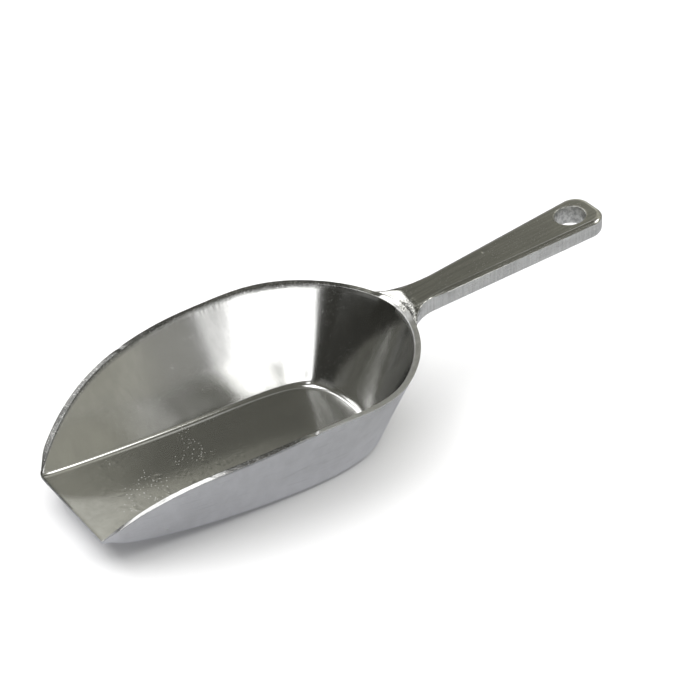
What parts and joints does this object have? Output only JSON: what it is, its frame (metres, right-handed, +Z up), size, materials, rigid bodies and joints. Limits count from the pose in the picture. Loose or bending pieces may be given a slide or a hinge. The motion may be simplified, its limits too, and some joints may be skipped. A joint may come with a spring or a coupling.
{
  "type": "feed scoop",
  "caption": "Small cast aluminium feed scoop: open-fronted bowl with sloping walls and a curved belly, flat bar handle with a hang hole.",
  "frame": {"origin": "centre of the overall box at table level, where the curved belly rests", "axes": "+X from the pouring lip to the handle's end, +Y across the bowl, +Z up"},
  "size_m": [0.14, 0.0574, 0.0288],
  "materials": {
    "cast_aluminium": "tumbled and polished cast aluminium, ground flat along the rim and the handle's sides"
  },
  "bodies": {
    "root": {"bowl": "cast_aluminium", "handle": "cast_aluminium"}
  },
  "joints": []
}
